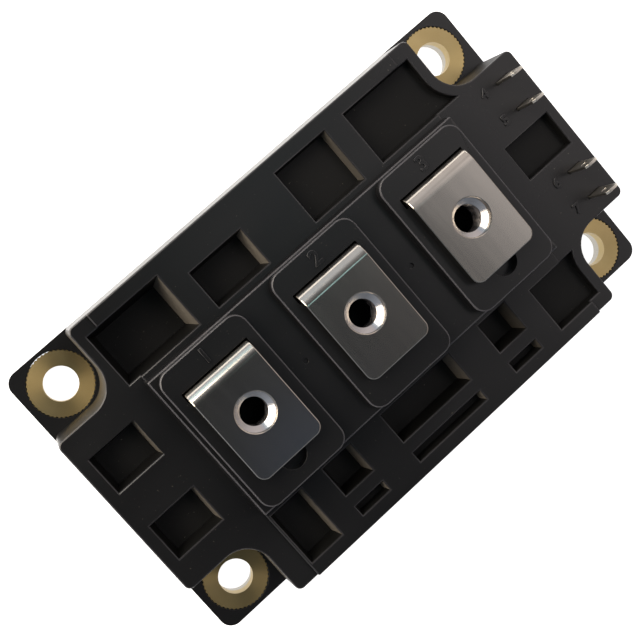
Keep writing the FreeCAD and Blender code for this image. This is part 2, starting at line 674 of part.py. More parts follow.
for node, shape in build().items():
    save(node, shape)
    print(node, len(shape.Solids), round(shape.Volume, 2), shape.isValid())
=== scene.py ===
import math

import bmesh
import bpy
from mathutils import Matrix, Vector


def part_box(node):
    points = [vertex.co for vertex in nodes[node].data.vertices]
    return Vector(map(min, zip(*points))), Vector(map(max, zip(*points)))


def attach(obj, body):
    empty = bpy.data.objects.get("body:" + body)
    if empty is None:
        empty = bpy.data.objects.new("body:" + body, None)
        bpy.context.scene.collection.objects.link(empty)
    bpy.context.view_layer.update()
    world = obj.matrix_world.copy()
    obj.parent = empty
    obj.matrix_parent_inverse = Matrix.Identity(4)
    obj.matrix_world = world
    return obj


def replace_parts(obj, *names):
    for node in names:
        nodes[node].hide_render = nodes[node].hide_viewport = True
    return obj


# A bolt-down power module: a black moulded case over a copper base, three folded screw
# terminals over captive nuts, four signal blades, and the circuit sealed inside.
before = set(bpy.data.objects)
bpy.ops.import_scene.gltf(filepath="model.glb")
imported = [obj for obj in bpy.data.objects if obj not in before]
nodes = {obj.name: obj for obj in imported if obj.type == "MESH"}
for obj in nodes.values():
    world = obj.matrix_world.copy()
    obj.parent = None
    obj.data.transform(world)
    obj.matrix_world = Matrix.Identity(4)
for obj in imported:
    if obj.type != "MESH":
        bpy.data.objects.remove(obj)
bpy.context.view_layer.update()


# Base plate: rolled copper sheet, stamped and nickel plated. It carries the heat away,
# and lies inside a thin rim of the case.
MM_PER_METRE = 1000
# Sockets of a Mix node that is set to colours. It gives the same name to several of them.
MIX_SHARE = 0
MIX_FROM = 6
MIX_TO = 7
MIX_COLOUR = 2
# Sizes of the roll lines along X, Y and Z. Real ones are finer and wouldn't show.
ROLL_LINES_MM = (16.0, 0.2, 16.0)


def paint(code):
    """Linear colour of an sRGB hex code, with the numbers of the sRGB standard."""
    parts = [int(code[i:i + 2], 16) / 255 for i in (1, 3, 5)]
    return tuple(p / 12.92 if p <= 0.04045 else ((p + 0.055) / 1.055) ** 2.4 for p in parts) + (1.0,)


def add_node(tree, kind, sockets=(), **settings):
    """Adds a node, sets it, and joins or fills its sockets."""
    made = tree.nodes.new(kind)
    for name, value in settings.items():
        setattr(made, name, value)
    for name, value in dict(sockets).items():
        if isinstance(value, bpy.types.NodeSocket):
            tree.links.new(value, made.inputs[name])
        else:
            made.inputs[name].default_value = value
    return made


def open_material(name):
    """A new material and its empty tree."""
    material = bpy.data.materials.new(name)
    material.use_nodes = True
    material.node_tree.nodes.clear()
    return material, material.node_tree


def dress(material, *names):
    """Gives the CAD nodes with these names a material."""
    for name in names:
        piece = nodes[name]
        piece.data.materials.clear()
        piece.data.materials.append(material)


def stretched_noise(tree, sizes_mm, detail=3.0):
    """Noise on object coordinates, whose cells have these sizes along X, Y and Z."""
    place = add_node(tree, "ShaderNodeTexCoord")
    scaled = add_node(tree, "ShaderNodeMapping", {"Vector": place.outputs["Object"],
                                                  "Scale": [MM_PER_METRE / size for size in sizes_mm]})
    return add_node(tree, "ShaderNodeTexNoise",
                    {"Vector": scaled.outputs["Vector"], "Scale": 1.0, "Detail": detail})


def plated_sheet(name, light, dark, lines_mm, depth, rough, spread):
    """Rolled sheet under a thin plating: long faint roll lines along one axis, a satin shine."""
    material, tree = open_material(name)
    lines = stretched_noise(tree, lines_mm)
    tint = add_node(tree, "ShaderNodeMix",
                    {MIX_SHARE: lines.outputs["Fac"], MIX_FROM: paint(dark), MIX_TO: paint(light)},
                    data_type="RGBA")
    gloss = add_node(tree, "ShaderNodeMapRange",
                     {"Value": lines.outputs["Fac"], "To Min": rough - spread, "To Max": rough + spread})
    relief = add_node(tree, "ShaderNodeBump", {"Height": lines.outputs["Fac"], "Strength": 0.5,
                                               "Distance": depth})
    shader = add_node(tree, "ShaderNodeBsdfPrincipled",
                      {"Base Color": tint.outputs[MIX_COLOUR], "Metallic": 1.0,
                       "Roughness": gloss.outputs["Result"], "Normal": relief.outputs["Normal"]})
    add_node(tree, "ShaderNodeOutputMaterial", {"Surface": shader.outputs["BSDF"]})
    return material


# Nickel is a warm grey, and its roll lines break the reflections along the plate.
dress(plated_sheet("rolled_nickel_plate", light="#c3beb4", dark="#a9a49a", lines_mm=ROLL_LINES_MM,
                   depth=0.00001, rough=0.34, spread=0.06),
      "base_plate")


# Substrates: fired alumina tiles with copper foil bonded to both faces, soldered to the plate.
# The upper foil is etched into the circuit.
SIDES = ("left", "right")


def cast_surface(name, light, dark, mottle_mm, depth, rough, metallic):
    """Even surface with a faint mottle, as firing, etching, reflow or metallising leaves it."""
    material, tree = open_material(name)
    mottle = stretched_noise(tree, (mottle_mm,) * 3, detail=4.0)
    tint = add_node(tree, "ShaderNodeMix",
                    {MIX_SHARE: mottle.outputs["Fac"], MIX_FROM: paint(dark), MIX_TO: paint(light)},
                    data_type="RGBA")
    relief = add_node(tree, "ShaderNodeBump", {"Height": mottle.outputs["Fac"], "Strength": 0.4,
                                               "Distance": depth})
    shader = add_node(tree, "ShaderNodeBsdfPrincipled",
                      {"Base Color": tint.outputs[MIX_COLOUR], "Metallic": metallic, "Roughness": rough,
                       "Normal": relief.outputs["Normal"]})
    add_node(tree, "ShaderNodeOutputMaterial", {"Surface": shader.outputs["BSDF"]})
    return material


# The ceramic is matte white, the foil warm and satin, and the solder a dull grey.
dress(cast_surface("fired_alumina", light="#f0efe9", dark="#e2e0d8", mottle_mm=1.1, depth=0.00002,
                   rough=0.7, metallic=0.0),
      *(f"ceramic_{side}" for side in SIDES))
dress(cast_surface("etched_copper_foil", light="#c98a68", dark="#b06f4e", mottle_mm=0.7, depth=0.00001,
                   rough=0.38, metallic=1.0),
      *(f"{layer}_{side}" for layer in ("back_copper", "copper_tracks") for side in SIDES))
dress(cast_surface("reflowed_solder", light="#9a9a9c", dark="#7d7d80", mottle_mm=0.8, depth=0.00002,
                   rough=0.35, metallic=1.0),
      "plate_solder_left", "plate_solder_right", "igbt_solder", "diode_solder")


# Chips: sawn silicon with a metallised face, soldered to the tracks. Drawn aluminium wires,
# pressed on by ultrasound, join their faces to the tracks and the two substrates to each other.
# Lines that the drawing die leaves along the wires. They are finer in life, and wouldn't show.
DIE_LINES_MM = (5.0, 0.17, 0.17)
# The chips' metal is a dark even grey, and the wires are bright with fine lines along them.
dress(cast_surface("metallised_silicon", light="#8b8d92", dark="#6d7076", mottle_mm=0.4, depth=0.000005,
                   rough=0.25, metallic=1.0),
      "igbt_chips", "diode_chips")
dress(plated_sheet("drawn_aluminium_wire", light="#d5d6d8", dark="#bfc0c2", lines_mm=DIE_LINES_MM,
                   depth=0.00001, rough=0.3, spread=0.05),
      "bond_wires_left", "bond_wires_right", "jumper_wires")


# Signal leads: copper strips that run from the blades to the gate and sense tracks. They are
# blanked and bent in a press, and soldered down to the tracks.
STRIP_MOTTLE_MM = (1.1, 1.1, 1.1)
# Bare copper that has begun to dull: warm, with soft patches in its shine.
dress(plated_sheet("pressed_copper_strip", light="#cf9272", dark="#b97a58", lines_mm=STRIP_MOTTLE_MM,
                   depth=0.00001, rough=0.36, spread=0.06),
      *(f"signal_lead_{k}" for k in (1, 2, 3, 4)))


# Gel: two-part silicone, poured over the circuit and cured to a clear soft fill that keeps
# moisture and sparks away from it.
HAZE_MM = 7.0


def poured_gel():
    """Silicone gel, poured and cured: clear, slightly milky, very smooth."""
    material, tree = open_material("cured_silicone_gel")
    haze = stretched_noise(tree, (HAZE_MM,) * 3, detail=2.0)
    gloss = add_node(tree, "ShaderNodeMapRange",
                     {"Value": haze.outputs["Fac"], "To Min": 0.05, "To Max": 0.16})
    shader = add_node(tree, "ShaderNodeBsdfPrincipled",
                      {"Base Color": paint("#e9ece8"), "Roughness": gloss.outputs["Result"], "IOR": 1.41,
                       "Transmission Weight": 0.9})
    add_node(tree, "ShaderNodeOutputMaterial", {"Surface": shader.outputs["BSDF"]})
    return material


dress(poured_gel(), "silicone_gel")


# Case: one moulding in black glass-filled plastic. The polished mould leaves the decks glossy,
# its steep walls that face -X are painted pale as a highlight of the lamp at -X, and what lies
# below the deck is painted darker as shade and given a rougher finish.
EAR_TOP = 0.0057
END_DECK = 0.020
SIDE_DECK = 0.021
BLOCK_TOP = 0.025
TERMINAL_PITCH = 0.025
TERMINAL_PLACES = (-TERMINAL_PITCH, 0.0, TERMINAL_PITCH)
PIT_RADIUS = 0.0005
PIT_DEPTH = 0.0004
PIT_SIDES = 16
PIT_PLACES = ((-TERMINAL_PITCH / 2, 0.0, BLOCK_TOP), (TERMINAL_PITCH / 2, 0.0, BLOCK_TOP))

# Edges that turn by more than the sharp angle are rounded in two steps, and the shading breaks
# at each step. The rounds are narrower on the ears and at the seats of the pits, tabs and
# blades. The seats of tabs and blades are given by their half sizes along X and Y.
EDGE_WIDTH = 0.00026
EDGE_STEPS = 2
SEAT_EDGE = 0.2
TAB_SEAT = (0.0076, 0.0127)
BLADE_SEAT = (0.0018, 0.0006)
SHARP_ANGLE = math.radians(28)
STEP_ANGLE = math.radians(20)
FLAT_TURN = math.radians(0.5)
FLAT_WEIGHT = 100
FLAT_GAP = 0.0001
WELD_GAP = 0.000002

# Rims are told from flats and walls by their width and by the upward part of their normals, and are painted
# grey as a highlight, less at the deck level.
# The walls of pockets and notches that face -X are painted pale, a painted highlight of the low lamp at -X,
# most towards the -X end. The walls of the notches over the ears have their middles below the notch level,
# and are painted less pale.
RIM_WIDTH = (0.00012, 0.00026)
RIM_TILT = (0.1, 0.97)
DECK_RIM_HIGHLIGHT = 0.3
INNER_SHARE = 0.985
SUNKEN_DROP = 0.0005
STEEP = 0.35
LIT_WALL_FADE = (0.002, 0.034)
NOTCH_LEVEL = 0.014
NOTCH_LIT_SHARE = 0.4

# Patterns: how the plastic flowed, the grain of the mould, a mottle in the pale paint of the lit walls, and
# pale specks. The last three are finer in life, and are drawn as coarse as they need to be to show.
FLOW_LINES_MM = (28.0, 16.0, 16.0)
MOULD_GRAIN_MM = 0.22
LIT_WALL_MOTTLE_MM = 0.55
SPECK_MM = 0.38
SPECK_CODE = "#8a857a"
# Grey of the rims: a painted highlight along the edges.
RIM_HIGHLIGHT_CODE = "#474649"
# Beige of the walls that face -X: a painted highlight of the low lamp at -X, mottled.
LIT_WALL_CODES = ("#544f48", "#787268")
GLOSS_SPREAD = 0.04


def moulded_plastic(name, dark, light, rough, specular):
    """Glass-filled polyester: near black, greyish on its rims as a painted highlight, and pale as a painted
    highlight where a wall faces -X.
    """
    material, tree = open_material(name)
    flow = stretched_noise(tree, FLOW_LINES_MM, detail=2.0)
    grain = stretched_noise(tree, (MOULD_GRAIN_MM,) * 3, detail=2.0)
    lit_wall_mottle = stretched_noise(tree, (LIT_WALL_MOTTLE_MM,) * 3, detail=5.0)
    specks = stretched_noise(tree, (SPECK_MM,) * 3, detail=1.0)
    speck = add_node(tree, "ShaderNodeMapRange", {"Value": specks.outputs["Fac"], "From Min": 0.76,
                                                  "From Max": 0.84, "To Max": 0.35})
    rim_highlight = add_node(tree, "ShaderNodeAttribute", attribute_name="rim_highlight")
    painted_lit_wall = add_node(tree, "ShaderNodeAttribute", attribute_name="painted_lit_wall")
    lit_wall_tint = add_node(tree, "ShaderNodeMix",
                          {MIX_SHARE: lit_wall_mottle.outputs["Fac"], MIX_FROM: paint(LIT_WALL_CODES[0]),
                           MIX_TO: paint(LIT_WALL_CODES[1])}, data_type="RGBA")
    body = add_node(tree, "ShaderNodeMix",
                    {MIX_SHARE: flow.outputs["Fac"], MIX_FROM: paint(dark), MIX_TO: paint(light)},
                    data_type="RGBA")
    # Over the body go pale specks, a grey painted highlight on the rims, and a pale painted highlight on the
    # walls that face -X.
    for share, tint in ((speck.outputs["Result"], paint(SPECK_CODE)),
                        (rim_highlight.outputs["Fac"], paint(RIM_HIGHLIGHT_CODE)),
                        (painted_lit_wall.outputs["Fac"], lit_wall_tint.outputs[MIX_COLOUR])):
        body = add_node(tree, "ShaderNodeMix",
                        {MIX_SHARE: share, MIX_FROM: body.outputs[MIX_COLOUR], MIX_TO: tint},
                        data_type="RGBA")
    gloss = add_node(tree, "ShaderNodeMapRange",
                     {"Value": flow.outputs["Fac"], "From Min": 0.3, "From Max": 0.7,
                      "To Min": rough - GLOSS_SPREAD, "To Max": rough + GLOSS_SPREAD})
    relief = add_node(tree, "ShaderNodeBump", {"Height": grain.outputs["Fac"], "Strength": 0.25,
                                               "Distance": 0.00002})
    shader = add_node(tree, "ShaderNodeBsdfPrincipled",
                      {"Base Color": body.outputs[MIX_COLOUR], "Roughness": gloss.outputs["Result"],
                       "IOR": 1.5, "Specular IOR Level": specular, "Normal": relief.outputs["Normal"]})
    add_node(tree, "ShaderNodeOutputMaterial", {"Surface": shader.outputs["BSDF"]})
    return material


def placed(name, data):
    """A new object with this data, linked to the scene."""
    made = bpy.data.objects.new(name, data)
    bpy.context.scene.collection.objects.link(made)
    return made


def frozen(carrier):
    """The plain mesh that a helper object gives. The helper is removed."""
    graph = bpy.context.evaluated_depsgraph_get()
    mesh = bpy.data.meshes.new_from_object(carrier.evaluated_get(graph))
    carrier.modifiers.clear()
    bpy.data.objects.remove(carrier)
    return mesh


def link_piece(name, mesh, material):
    """Puts a finished mesh into the scene as a piece of the module."""
    piece = placed(name, mesh)
    mesh.materials.clear()
    mesh.materials.append(material)
    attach(piece, "root")
    return piece


def welded_copy(node):
    """A CAD node's mesh with its corners merged and its flat faces whole."""
    welded = bmesh.new()
    welded.from_mesh(nodes[node].data)
    bmesh.ops.remove_doubles(welded, verts=welded.verts, dist=WELD_GAP)
    bmesh.ops.dissolve_limit(welded, angle_limit=FLAT_TURN, verts=welded.verts, edges=welded.edges)
    mesh = bpy.data.meshes.new(node + "_welded")
    welded.to_mesh(mesh)
    welded.free()
    return mesh


def modified(mesh, kind, **settings):
    """The mesh that one modifier makes of another."""
    carrier = placed("carrier", mesh)
    modifier = carrier.modifiers.new(kind.lower(), kind)
    for name, value in settings.items():
        setattr(modifier, name, value)
    return frozen(carrier)


def smooth_below(mesh, angle):
    """Smooth shading, but for the edges that turn by more than an angle."""
    mesh.polygons.foreach_set("use_smooth", [True] * len(mesh.polygons))
    mesh.set_sharp_from_angle(angle=angle)


def eased(mesh, width, limit="ANGLE"):
    """The mesh with a narrow round along its sharp edges, and even shading on its flats."""
    rounded = modified(mesh, "BEVEL", width=width, segments=EDGE_STEPS, limit_method=limit,
                       angle_limit=SHARP_ANGLE, use_clamp_overlap=False)
    smooth_below(rounded, STEP_ANGLE)
    return modified(rounded, "WEIGHTED_NORMAL", weight=FLAT_WEIGHT, keep_sharp=True)


def pierced(mesh, places):
    """The mesh with a small round pit at each place."""
    drill = bmesh.new()
    for place in places:
        bmesh.ops.create_cone(drill, cap_ends=True, segments=PIT_SIDES, radius1=PIT_RADIUS,
                              radius2=PIT_RADIUS, depth=2 * PIT_DEPTH, matrix=Matrix.Translation(place))
    bits = bpy.data.meshes.new("bits")
    drill.to_mesh(bits)
    drill.free()
    cutter = placed("bits", bits)
    result = modified(mesh, "BOOLEAN", operation="DIFFERENCE", object=cutter)
    bpy.data.objects.remove(cutter)
    return result


def seats_on_case():
    """Middles and half sizes of the seats of the pits, the tabs and the blades."""
    found = [(x, y, 2 * PIT_RADIUS, 2 * PIT_RADIUS) for x, y, z in PIT_PLACES]
    found += [(x, 0.0, *TAB_SEAT) for x in TERMINAL_PLACES]
    for k in (1, 2, 3, 4):
        low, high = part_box(f"signal_blade_{k}")
        found.append(((low.x + high.x) / 2, (low.y + high.y) / 2, *BLADE_SEAT))
    return found


def weigh_edges(mesh, deck, seats):
    """Marks how far each outward edge of the case is rounded, least on the ears and at its seats."""
    shape = bmesh.new()
    shape.from_mesh(mesh)
    weight = shape.edges.layers.float.new("bevel_weight_edge")
    for edge in shape.edges:
        if edge.calc_face_angle(0.0) < SHARP_ANGLE:
            continue
        high = max(vert.co.z for vert in edge.verts)
        sealed = high < deck and abs(high - EAR_TOP) > FLAT_GAP
        if sealed or not edge.is_convex:
            continue
        middle = (edge.verts[0].co + edge.verts[1].co) / 2
        seated = any(abs(middle.x - x) < half_x and abs(middle.y - y) < half_y
                     for x, y, half_x, half_y in seats)
        edge[weight] = SEAT_EDGE if seated or high < deck else 1.0
    shape.to_mesh(mesh)
    shape.free()


def mark_faces(mesh, deck):
    """Marks rims for a grey painted highlight and walls facing -X for a pale painted highlight, and gives
    what lies below the deck a rougher finish painted darker as shade.
    """
    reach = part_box("case")[1] * INNER_SHARE
    painted_lit_wall = mesh.attributes.new("painted_lit_wall", "FLOAT", "FACE")
    rim_highlight = mesh.attributes.new("rim_highlight", "FLOAT", "FACE")
    for face in mesh.polygons:
        x, y, z = face.center
        longest = max((mesh.vertices[a].co - mesh.vertices[b].co).length for a, b in face.edge_keys)
        narrow = RIM_WIDTH[0] < face.area / longest < RIM_WIDTH[1]
        rim = narrow and z > deck and RIM_TILT[0] < face.normal.z < RIM_TILT[1]
        # Rims are painted grey as a highlight, less at the deck level.
        rim_highlight.data[face.index].value = rim * (1.0 if z > SIDE_DECK + FLAT_GAP else DECK_RIM_HIGHLIGHT)
        sunken = abs(x) < reach.x and abs(y) < reach.y and EAR_TOP + FLAT_GAP < z < deck
        # What lies below the deck inside the case takes the second material, painted darker as shade.
        face.material_index = int(sunken)
        # Walls that face -X are painted pale, as the low lamp at -X would light them.
        if sunken and abs(face.normal.z) < STEEP:
            fade = min(max((LIT_WALL_FADE[1] - x) / (LIT_WALL_FADE[1] - LIT_WALL_FADE[0]), 0.0), 1.0)
            share = fade * (NOTCH_LIT_SHARE if z < NOTCH_LEVEL else 1.0)
            painted_lit_wall.data[face.index].value = max(0.0, -face.normal.x) ** 2 * share


plastic = moulded_plastic("moulded_black_polyester", dark="#0b0b0c", light="#121213", rough=0.30,
                          specular=0.5)
# Below the deck the plastic is painted darker as shade, and is rougher and less shiny.
shaded_recess = moulded_plastic("shaded_recess_black_polyester", dark="#070707", light="#0e0e0d", rough=0.50,
                        specular=0.25)
case_shape = pierced(welded_copy("case"), PIT_PLACES)
weigh_edges(case_shape, END_DECK - FLAT_GAP, seats_on_case())
case_mesh = eased(case_shape, EDGE_WIDTH, "WEIGHT")
case_skin = link_piece("case_skin", case_mesh, plastic)
case_mesh.materials.append(shaded_recess)
mark_faces(case_mesh, END_DECK - SUNKEN_DROP)
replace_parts(case_skin, "case")
dress(plastic, "case")


# Bushings: brass sleeves turned from bar, with a straight knurl that keys them into the ears.
# The facing cut leaves fine rings, so each face throws its light in two opposite fans.
BUSHING_CREST = 0.00618
KNURL_DEPTH = 0.00018
KNURL_TEETH = 48
POINTS_PER_TOOTH = 4
CREST_POINTS = 2
BUSHING_BORE = 0.00325
BORE_SIDES = 96
HOLE_X = 0.0465
HOLE_Y = 0.024
# The rings are finer in life, and are drawn as wide as they need to be to show. The length is
# that at which a Wave texture repeats when its scale is one.
RING_SPACING = 0.00045
WAVE_LENGTH = math.tau / 20
PATINA_MM = 4.0


def group_with(name, **sizes):
    """A geometry tree with named inputs, and its input and output nodes."""
    tree = bpy.data.node_groups.new(name, "GeometryNodeTree")
    for label, kind in sizes.items():
        tree.interface.new_socket(label, in_out="INPUT", socket_type="NodeSocket" + kind)
    tree.interface.new_socket("Geometry", in_out="OUTPUT", socket_type="NodeSocketGeometry")
    return tree, add_node(tree, "NodeGroupInput"), add_node(tree, "NodeGroupOutput")


def finish_tree(tree, given, result, geometry):
    """Ends a geometry tree: real geometry in the given material."""
    whole = add_node(tree, "GeometryNodeRealizeInstances", {"Geometry": geometry})
    dressed = add_node(tree, "GeometryNodeSetMaterial",
                       {"Geometry": whole.outputs["Geometry"], "Material": given.outputs["Material"]})
    tree.links.new(dressed.outputs["Geometry"], result.inputs["Geometry"])


def grown(tree, material, **values):
    """Plain mesh of a geometry tree with these sizes."""
    carrier = placed("carrier", bpy.data.meshes.new("carrier"))
    modifier = carrier.modifiers.new("grow", "NODES")
    modifier.node_group = tree
    for item in tree.interface.items_tree:
        if item.in_out == "INPUT":
            modifier[item.identifier] = values.get(item.name, material)
    return frozen(carrier)


def knurled_sleeve_tree():
    """Ring outline with square teeth, filled round the bore and drawn up to its height."""
    tree, given, result = group_with("knurled_sleeve", Crest="Float", Root="Float", Bore="Float",
                                     Teeth="Int", Foot="Float", Height="Float", Material="Material")
    count = add_node(tree, "ShaderNodeMath", {0: given.outputs["Teeth"], 1: POINTS_PER_TOOTH},
                     operation="MULTIPLY")
    ring = add_node(tree, "GeometryNodeMeshCircle", {"Vertices": count.outputs["Value"], "Radius": 1.0})
    index = add_node(tree, "GeometryNodeInputIndex")
    place = add_node(tree, "ShaderNodeMath", {0: index.outputs["Index"], 1: POINTS_PER_TOOTH},
                     operation="MODULO")
    on_crest = add_node(tree, "ShaderNodeMath", {0: place.outputs["Value"], 1: CREST_POINTS},
                        operation="LESS_THAN")
    radius = add_node(tree, "ShaderNodeMix", {"Factor": on_crest.outputs["Value"],
                                              "A": given.outputs["Root"], "B": given.outputs["Crest"]})
    spot = add_node(tree, "GeometryNodeInputPosition")
    pushed = add_node(tree, "ShaderNodeVectorMath",
                      {"Vector": spot.outputs["Position"], "Scale": radius.outputs["Result"]},
                      operation="SCALE")
    toothed = add_node(tree, "GeometryNodeSetPosition",
                       {"Geometry": ring.outputs["Mesh"], "Position": pushed.outputs["Vector"]})
    outer = add_node(tree, "GeometryNodeMeshToCurve", {"Mesh": toothed.outputs["Geometry"]})
    bore = add_node(tree, "GeometryNodeCurvePrimitiveCircle",
                    {"Resolution": BORE_SIDES, "Radius": given.outputs["Bore"]})
    both = add_node(tree, "GeometryNodeJoinGeometry")
    tree.links.new(outer.outputs["Curve"], both.inputs["Geometry"])
    tree.links.new(bore.outputs["Curve"], both.inputs["Geometry"])
    face = add_node(tree, "GeometryNodeFillCurve", {"Curve": both.outputs["Geometry"]})
    lift = add_node(tree, "ShaderNodeCombineXYZ", {"Z": given.outputs["Height"]})
    drawn = add_node(tree, "GeometryNodeExtrudeMesh", {"Mesh": face.outputs["Mesh"],
                                                       "Offset": lift.outputs["Vector"],
                                                       "Offset Scale": 1.0, "Individual": False})
    under = add_node(tree, "GeometryNodeFlipFaces", {"Mesh": face.outputs["Mesh"]})
    closed = add_node(tree, "GeometryNodeJoinGeometry")
    tree.links.new(drawn.outputs["Mesh"], closed.inputs["Geometry"])
    tree.links.new(under.outputs["Mesh"], closed.inputs["Geometry"])
    merged = add_node(tree, "GeometryNodeMergeByDistance", {"Geometry": closed.outputs["Geometry"],
                                                            "Distance": WELD_GAP})
    foot = add_node(tree, "ShaderNodeCombineXYZ", {"Z": given.outputs["Foot"]})
    raised = add_node(tree, "GeometryNodeTransform", {"Geometry": merged.outputs["Geometry"],
                                                      "Translation": foot.outputs["Vector"]})
    finish_tree(tree, given, result, raised.outputs["Geometry"])
    return tree


def hole_axis(tree, place):
    """Axis of the mounting hole in the same corner of the module."""
    quarter = add_node(tree, "ShaderNodeVectorMath", {0: place}, operation="SIGN")
    return add_node(tree, "ShaderNodeVectorMath", {0: quarter.outputs["Vector"], 1: (HOLE_X, HOLE_Y, 0.0)},
                    operation="MULTIPLY")


def turned_metal(name, dark, light, rough, pull, axis_of):
    """Metal faced on a lathe, its gloss spread across the fine rings round each axis."""
    material, tree = open_material(name)
    place = add_node(tree, "ShaderNodeTexCoord").outputs["Object"]
    outward = add_node(tree, "ShaderNodeVectorMath", {0: place, 1: axis_of(tree, place).outputs["Vector"]},
                       operation="SUBTRACT")
    rings = add_node(tree, "ShaderNodeTexWave",
                     {"Vector": outward.outputs["Vector"], "Scale": WAVE_LENGTH / RING_SPACING,
                      "Distortion": 0.4, "Detail": 2.0, "Detail Scale": 3.0},
                     wave_type="RINGS", rings_direction="Z")
    patina = stretched_noise(tree, (PATINA_MM,) * 3)
    tint = add_node(tree, "ShaderNodeMix",
                    {MIX_SHARE: patina.outputs["Fac"], MIX_FROM: paint(dark), MIX_TO: paint(light)},
                    data_type="RGBA")
    relief = add_node(tree, "ShaderNodeBump", {"Height": rings.outputs["Fac"], "Strength": 0.3,
                                               "Distance": 0.000004})
    shader = add_node(tree, "ShaderNodeBsdfPrincipled",
                      {"Base Color": tint.outputs[MIX_COLOUR], "Metallic": 1.0, "Roughness": rough,
                       "Anisotropic": pull, "Tangent": outward.outputs["Vector"],
                       "Normal": relief.outputs["Normal"]})
    add_node(tree, "ShaderNodeOutputMaterial", {"Surface": shader.outputs["BSDF"]})
    return material


# Brass that has dulled a little: olive gold, with the rings' two bright fans on each face.
brass = turned_metal("turned_brass", dark="#b7a06d", light="#cbb582", rough=0.36, pull=0.60,
                     axis_of=hole_axis)
dress(brass, *(f"bushing_{k}" for k in (1, 2, 3, 4)))
sleeve_foot, sleeve_top = (corner.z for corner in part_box("bushing_1"))
sleeve = grown(knurled_sleeve_tree(), brass, Crest=BUSHING_CREST, Root=BUSHING_CREST - KNURL_DEPTH,
               Bore=BUSHING_BORE, Teeth=KNURL_TEETH, Foot=sleeve_foot, Height=sleeve_top - sleeve_foot)
smooth_below(sleeve, SHARP_ANGLE)
for k, (side_x, side_y) in enumerate(((-1, 1), (1, 1), (1, -1), (-1, -1)), 1):
    mesh = sleeve.copy()
    mesh.transform(Matrix.Translation((side_x * HOLE_X, side_y * HOLE_Y, 0)))
    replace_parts(link_piece(f"bushing_skin_{k}", mesh, brass), f"bushing_{k}")


# Captive nuts: zinc-plated steel, tapped M6, with a bright turned countersink that shows through
# each terminal's hole. They lie loose in hexagonal wells under the tabs.
NUT_FLATS = 0.010
NUT_CROWN = 0.0048
CROWN_ANGLE = math.radians(30)
NUT_BORE = 0.0025
SINK_RADIUS = 0.0036
SINK_DEPTH = 0.00065
THREAD_PITCH = 0.001
THREAD_DEPTH = 0.0005
THREAD_STEPS = 8
SPOKES = 96
# A step along Y and Z that is far wider than the module, so that both snap to zero.
FAR = 1.0


def nut_axis(tree, place):
    """Axis of the nearest of the three nuts."""
    shifted = add_node(tree, "ShaderNodeVectorMath",
                       {0: place, 1: (TERMINAL_PITCH / 2, FAR / 2, FAR / 2)}, operation="ADD")
    return add_node(tree, "ShaderNodeVectorMath",
                    {0: shifted.outputs["Vector"], 1: (TERMINAL_PITCH, FAR, FAR)}, operation="SNAP")


def nut_section(turn, foot, top):
    """Closed outline of the nut at one angle: flat, foot, thread, countersink, face, chamfer."""
    sixth = math.pi / 3
    reach = NUT_FLATS / 2 / math.cos((turn + sixth / 2) % sixth - sixth / 2)
    drop = (reach - NUT_CROWN) * math.tan(CROWN_ANGLE)
    sink = top - SINK_DEPTH
    count = round((sink - foot) / THREAD_PITCH * THREAD_STEPS)
    outline = [(reach, foot), (NUT_BORE, foot)]
    for step in range(1, count):
        z = foot + (sink - foot) * step / count
        wave = abs(2 * ((z / THREAD_PITCH - turn / math.tau) % 1.0) - 1)
        fade = min(1.0, (z - foot) / THREAD_PITCH, (sink - z) / THREAD_PITCH)
        outline.append((NUT_BORE + THREAD_DEPTH * wave * fade, z))
    outline += [(NUT_BORE, sink), (SINK_RADIUS, top), (NUT_CROWN, top), (reach, top - drop)]
    return [(r * math.cos(turn), r * math.sin(turn), z) for r, z in outline]


def threaded_nut(foot, top):
    """Hexagon nut with a helical thread, made of sections round its axis."""
    shape = bmesh.new()
    rows = [[shape.verts.new(point) for point in nut_section(math.tau * k / SPOKES, foot, top)]
            for k in range(SPOKES)]
    for row, after in zip(rows, rows[1:] + rows[:1]):
        for k in range(len(row)):
            shape.faces.new((row[k - 1], row[k], after[k], after[k - 1]))
    bmesh.ops.recalc_face_normals(shape, faces=shape.faces)
    mesh = bpy.data.meshes.new("threaded_nut")
    shape.to_mesh(mesh)
    shape.free()
    smooth_below(mesh, SHARP_ANGLE)
    return mesh


# Zinc over turned steel is a bright, slightly violet grey, and nearly a mirror in the countersink.
nut_zinc = turned_metal("bright_zinc_plating", dark="#aeabab", light="#c9c6c4", rough=0.20, pull=0.5,
                        axis_of=nut_axis)
nut_foot, nut_top = (corner.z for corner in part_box("terminal_nut_1"))
for k, x in enumerate(TERMINAL_PLACES, 1):
    nut = threaded_nut(nut_foot, nut_top)
    nut.transform(Matrix.Translation((x, 0, 0)))
    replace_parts(link_piece(f"nut_skin_{k}", nut, nut_zinc), f"terminal_nut_{k}")
    dress(nut_zinc, f"terminal_nut_{k}")


# Screw terminals: copper strip, nickel plated, blanked and folded over the nuts. The plating is
# nearly a mirror, with faint roll lines across the fold.
STRIP_THICKNESS = 0.0015
STRIP_EDGE = 0.0002
STRIP_LINES_MM = (1.1, 16.0, 16.0)
FOLD_OUTER = 0.0027
FOLD_CUTS = 3
FOLD_SLACK = 0.00015


